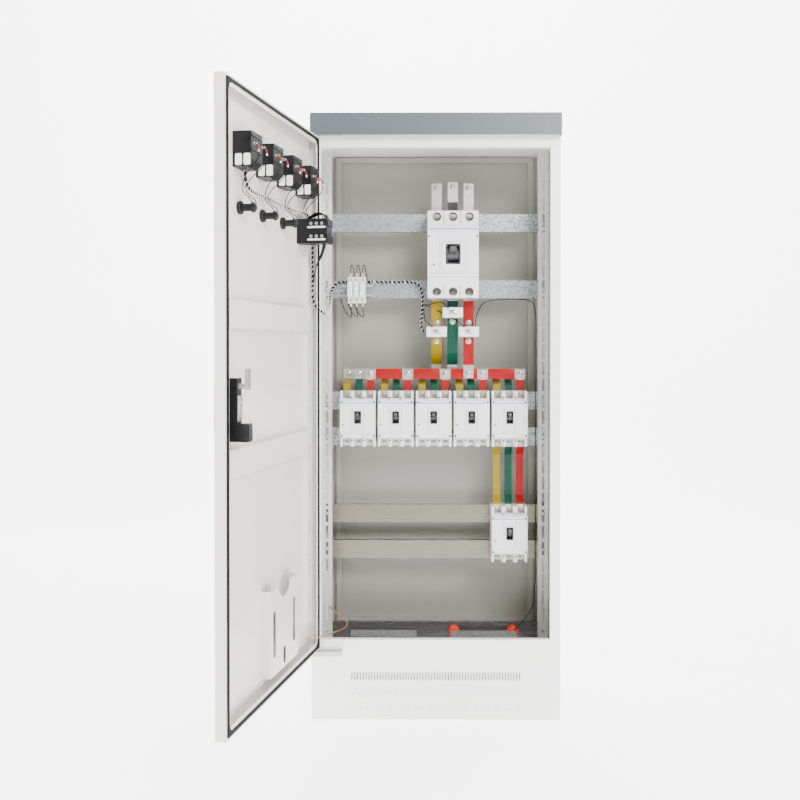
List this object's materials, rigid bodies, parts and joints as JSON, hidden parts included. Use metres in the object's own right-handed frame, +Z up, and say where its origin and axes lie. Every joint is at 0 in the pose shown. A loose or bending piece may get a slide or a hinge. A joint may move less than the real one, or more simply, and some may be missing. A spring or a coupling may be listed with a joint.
{
  "type": "industrial switchboard cabinet",
  "caption": "Floor-standing steel switchboard cabinet with an open hinged door, moulded-case breakers, busbars, current transformers, fuses and door-mounted meters.",
  "frame": {"origin": "centre of the base at floor level, which is the centre of the anchor hole pattern", "axes": "+X to the right seen from the front, +Y from the front to the back, +Z up"},
  "size_m": [0.8409, 1.0611, 1.7],
  "materials": {
    "door_paint": "smooth semi-gloss powder coat",
    "cabinet_paint": "smooth semi-gloss powder coat",
    "fascia_paint": "satin powder coat",
    "zinc": "spangled galvanised",
    "copper_tinned": "tinned copper, satin",
    "sleeve_yellow": "shrunk sleeve",
    "sleeve_green": "shrunk sleeve",
    "sleeve_red": "shrunk sleeve",
    "breaker_white": "moulded, fine grain",
    "toggle_grey": "moulded",
    "trip_orange": "moulded",
    "insulator_red": "moulded",
    "black_plastic": "moulded",
    "lamp_lens": "translucent lens",
    "seal_rubber": "foam rubber",
    "screw_steel": "zinc plated",
    "lock_metal": "plated",
    "fuse_white": "moulded",
    "lead_white": "spiral wrapped",
    "lead_black": "insulated",
    "bond_copper": "clear sleeve over copper braid",
    "bracket_steel": "plated"
  },
  "bodies": {
    "cabinet": {"branch_breaker_bases": "breaker_white", "branch_breaker_covers": "breaker_white", "cabinet_loom": "lead_white", "cross_rails": "zinc", "current_transformers": "breaker_white", "din_rail": "zinc", "distribution_bars": "copper_tinned", "earth_bond_wire": "bond_copper", "fasteners": "screw_steel", "front_frame": "cabinet_paint", "fuse_bases": "fuse_white", "gland_plate": "zinc", "header_fascia": "fascia_paint", "hinge_brackets": "bracket_steel", "hinge_loom": "lead_white", "left_side_panel": "cabinet_paint", "link_bars": "copper_tinned", "main_breaker_base": "breaker_white", "main_breaker_cover": "breaker_white", "neutral_lead": "lead_black", "plinth": "cabinet_paint", "rear_frame": "zinc", "rear_panel": "cabinet_paint", "right_side_panel": "cabinet_paint", "roof_panel": "cabinet_paint", "sleeves_green": "sleeve_green", "sleeves_red": "sleeve_red", "sleeves_yellow": "sleeve_yellow", "slotted_uprights": "zinc", "standoff_insulators": "insulator_red", "terminal_bars": "copper_tinned"},
    "door": {"door_leaf": "door_paint", "door_seal": "seal_rubber", "door_stiffeners": "door_paint", "document_pocket": "door_paint", "meter_cases": "black_plastic", "pilot_lamps": "lamp_lens", "selector_body": "black_plastic", "lock_body": "black_plastic", "door_loom": "lead_white"},
    "main_toggle": {"main_toggle": "toggle_grey"},
    "branch_1_toggle": {"branch_1_toggle": "toggle_grey"},
    "branch_2_toggle": {"branch_2_toggle": "toggle_grey"},
    "branch_3_toggle": {"branch_3_toggle": "toggle_grey"},
    "branch_4_toggle": {"branch_4_toggle": "toggle_grey"},
    "branch_5_toggle": {"branch_5_toggle": "toggle_grey"},
    "feeder_toggle": {"feeder_toggle": "toggle_grey"},
    "main_trip_button": {"main_trip_button": "trip_orange"},
    "branch_1_trip_button": {"branch_1_trip_button": "trip_orange"},
    "branch_2_trip_button": {"branch_2_trip_button": "trip_orange"},
    "branch_3_trip_button": {"branch_3_trip_button": "trip_orange"},
    "branch_4_trip_button": {"branch_4_trip_button": "trip_orange"},
    "branch_5_trip_button": {"branch_5_trip_button": "trip_orange"},
    "feeder_trip_button": {"feeder_trip_button": "trip_orange"},
    "fuse_carrier_1": {"fuse_carrier_1": "fuse_white"},
    "fuse_carrier_2": {"fuse_carrier_2": "fuse_white"},
    "fuse_carrier_3": {"fuse_carrier_3": "fuse_white"},
    "selector_knob": {"selector_knob": "black_plastic"},
    "lock_handle": {"lock_handle": "black_plastic"},
    "lock_latch": {"lock_latch": "lock_metal"}
  },
  "joints": [
    {"name": "door_hinge", "type": "hinge", "parent": "cabinet", "child": "door", "pos_m": [-0.339, -0.2, 0.92], "axis": [0, 0, 1], "range_deg": [-12, 100.7], "deforming": ["hinge_loom", "earth_bond_wire"]},
    {"name": "main_toggle_pivot", "type": "hinge", "parent": "cabinet", "child": "main_toggle", "pos_m": [0.0525, -0.0235, 1.323], "axis": [1, 0, 0], "range_deg": [0, 40]},
    {"name": "main_trip_button_press", "type": "slide", "parent": "cabinet", "child": "main_trip_button", "axis": [0, 1, 0], "range_m": [0, 0.002], "stiffness_N_per_m": 200, "springref_m": -0.002},
    {"name": "branch_1_toggle_pivot", "type": "hinge", "parent": "cabinet", "child": "branch_1_toggle", "pos_m": [-0.23, -0.011, 0.841], "axis": [1, 0, 0], "range_deg": [0, 40]},
    {"name": "branch_1_trip_button_press", "type": "slide", "parent": "cabinet", "child": "branch_1_trip_button", "axis": [0, 1, 0], "range_m": [0, 0.002], "stiffness_N_per_m": 200, "springref_m": -0.002},
    {"name": "branch_2_toggle_pivot", "type": "hinge", "parent": "cabinet", "child": "branch_2_toggle", "pos_m": [-0.11725, -0.011, 0.841], "axis": [1, 0, 0], "range_deg": [0, 40]},
    {"name": "branch_2_trip_button_press", "type": "slide", "parent": "cabinet", "child": "branch_2_trip_button", "axis": [0, 1, 0], "range_m": [0, 0.002], "stiffness_N_per_m": 200, "springref_m": -0.002},
    {"name": "branch_3_toggle_pivot", "type": "hinge", "parent": "cabinet", "child": "branch_3_toggle", "pos_m": [-0.0045, -0.011, 0.841], "axis": [1, 0, 0], "range_deg": [0, 40]},
    {"name": "branch_3_trip_button_press", "type": "slide", "parent": "cabinet", "child": "branch_3_trip_button", "axis": [0, 1, 0], "range_m": [0, 0.002], "stiffness_N_per_m": 200, "springref_m": -0.002},
    {"name": "branch_4_toggle_pivot", "type": "hinge", "parent": "cabinet", "child": "branch_4_toggle", "pos_m": [0.10825, -0.011, 0.841], "axis": [1, 0, 0], "range_deg": [0, 40]},
    {"name": "branch_4_trip_button_press", "type": "slide", "parent": "cabinet", "child": "branch_4_trip_button", "axis": [0, 1, 0], "range_m": [0, 0.002], "stiffness_N_per_m": 200, "springref_m": -0.002},
    {"name": "branch_5_toggle_pivot", "type": "hinge", "parent": "cabinet", "child": "branch_5_toggle", "pos_m": [0.221, -0.011, 0.841], "axis": [1, 0, 0], "range_deg": [0, 40]},
    {"name": "branch_5_trip_button_press", "type": "slide", "parent": "cabinet", "child": "branch_5_trip_button", "axis": [0, 1, 0], "range_m": [0, 0.002], "stiffness_N_per_m": 200, "springref_m": -0.002},
    {"name": "feeder_toggle_pivot", "type": "hinge", "parent": "cabinet", "child": "feeder_toggle", "pos_m": [0.221, -0.011, 0.4965], "axis": [1, 0, 0], "range_deg": [0, 40]},
    {"name": "feeder_trip_button_press", "type": "slide", "parent": "cabinet", "child": "feeder_trip_button", "axis": [0, 1, 0], "range_m": [0, 0.002], "stiffness_N_per_m": 200, "springref_m": -0.002},
    {"name": "fuse_carrier_1_pivot", "type": "hinge", "parent": "cabinet", "child": "fuse_carrier_1", "pos_m": [-0.2535, 0.0101, 1.2035], "axis": [1, 0, 0], "range_deg": [0, 80]},
    {"name": "fuse_carrier_2_pivot", "type": "hinge", "parent": "cabinet", "child": "fuse_carrier_2", "pos_m": [-0.2355, 0.0101, 1.2035], "axis": [1, 0, 0], "range_deg": [0, 80]},
    {"name": "fuse_carrier_3_pivot", "type": "hinge", "parent": "cabinet", "child": "fuse_carrier_3", "pos_m": [-0.2175, 0.0101, 1.2035], "axis": [1, 0, 0], "range_deg": [0, 80]},
    {"name": "selector_turn", "type": "hinge", "parent": "door", "child": "selector_knob", "pos_m": [-0.37875, -0.28917, 1.36], "axis": [-0.9826, 0.1857, 0], "range_deg": [0, 135]},
    {"name": "lock_handle_turn", "type": "hinge", "parent": "door", "child": "lock_handle", "pos_m": [-0.47661, -0.81515, 0.964], "axis": [0.9826, -0.1857, 0], "range_deg": [0, 90]},
    {"name": "lock_latch_turn", "type": "hinge", "parent": "door", "child": "lock_latch", "pos_m": [-0.43632, -0.82276, 0.964], "axis": [0.9826, -0.1857, 0], "range_deg": [0, 90]}
  ],
  "couplings": [
    {"joint": "lock_latch_turn", "follows": "lock_handle_turn", "ratio": 1}
  ]
}
